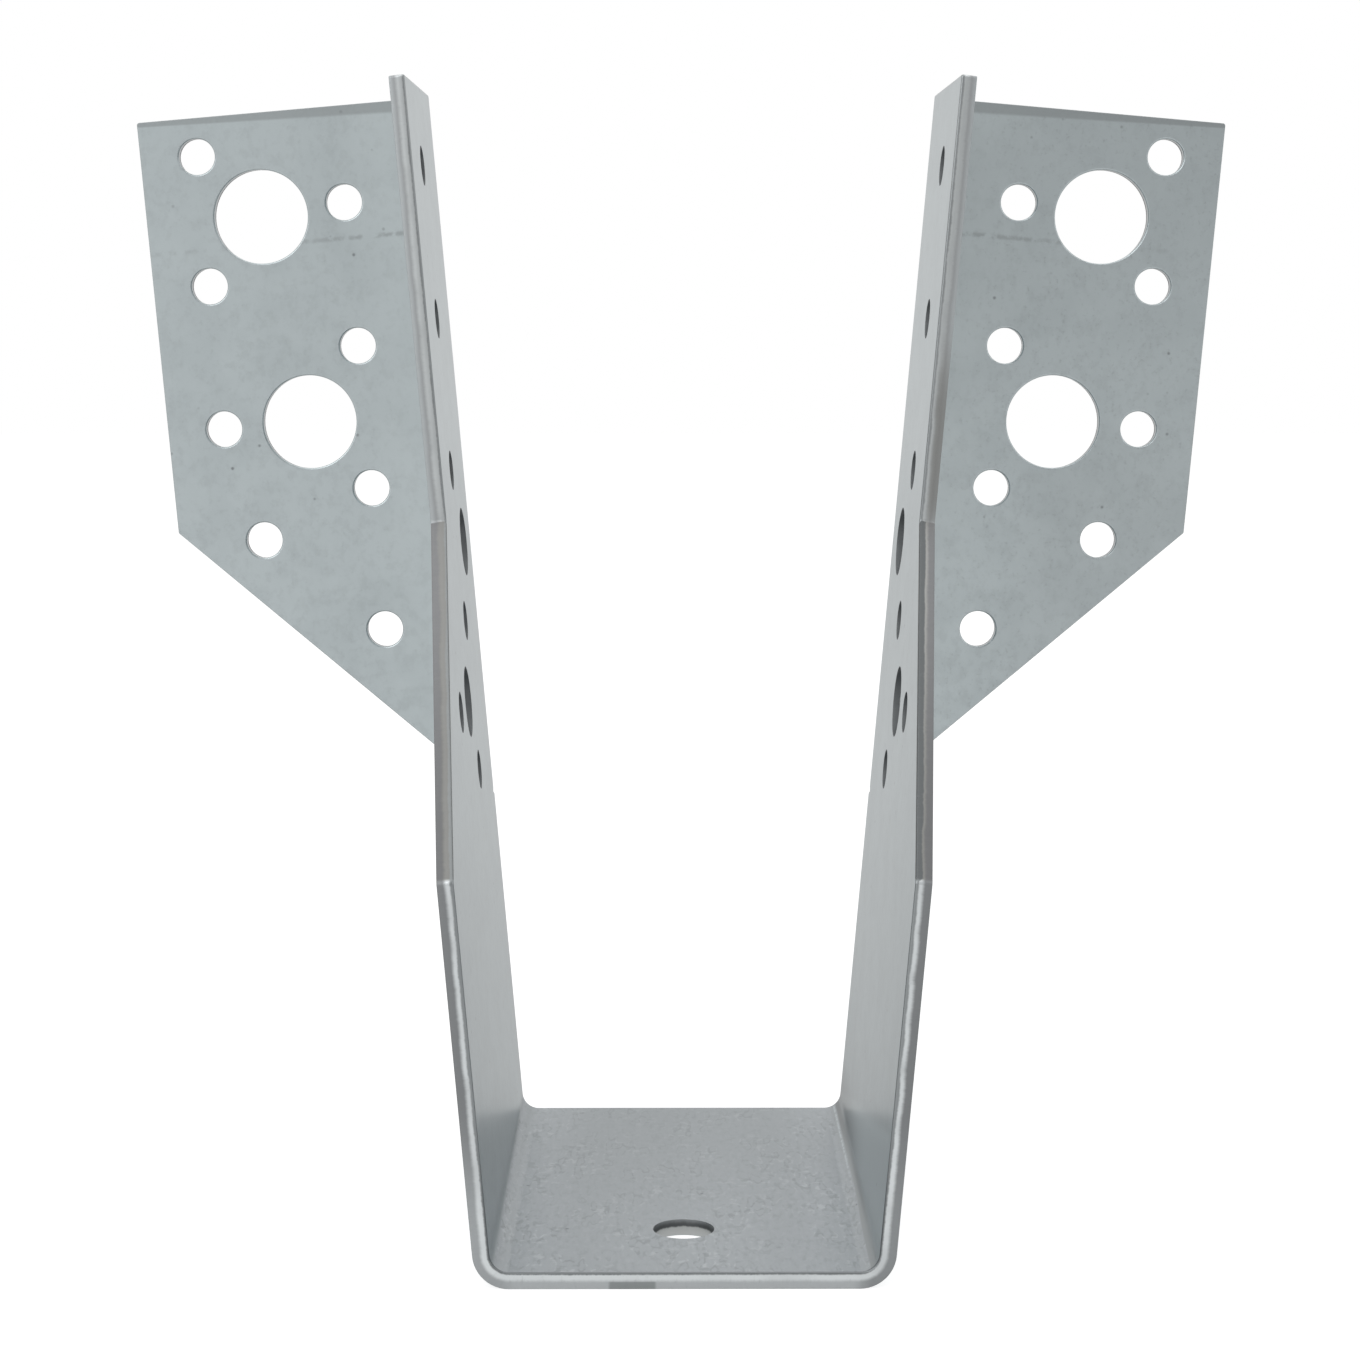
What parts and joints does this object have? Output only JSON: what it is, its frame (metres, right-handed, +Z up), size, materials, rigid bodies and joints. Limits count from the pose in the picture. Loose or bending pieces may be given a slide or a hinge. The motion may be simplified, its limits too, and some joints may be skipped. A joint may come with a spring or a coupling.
{
  "type": "joist hanger",
  "caption": "Face fixed joist hanger folded from punched galvanised sheet steel: a seat, tapering splayed walls and outward flanges with nail and anchor holes.",
  "frame": {"origin": "Middle of the footprint on the plane that the seat's underside stands on.", "axes": "X runs across the joist, Z is up, and +Y points along the joist into the header. The flanges bear on the header in the plane Y = 0.03675 m."},
  "size_m": [0.1516, 0.0734, 0.1449],
  "materials": {
    "galvanised_sheet": "satin galvanised"
  },
  "bodies": {
    "root": {"joist_hanger": "galvanised_sheet"}
  },
  "joints": []
}
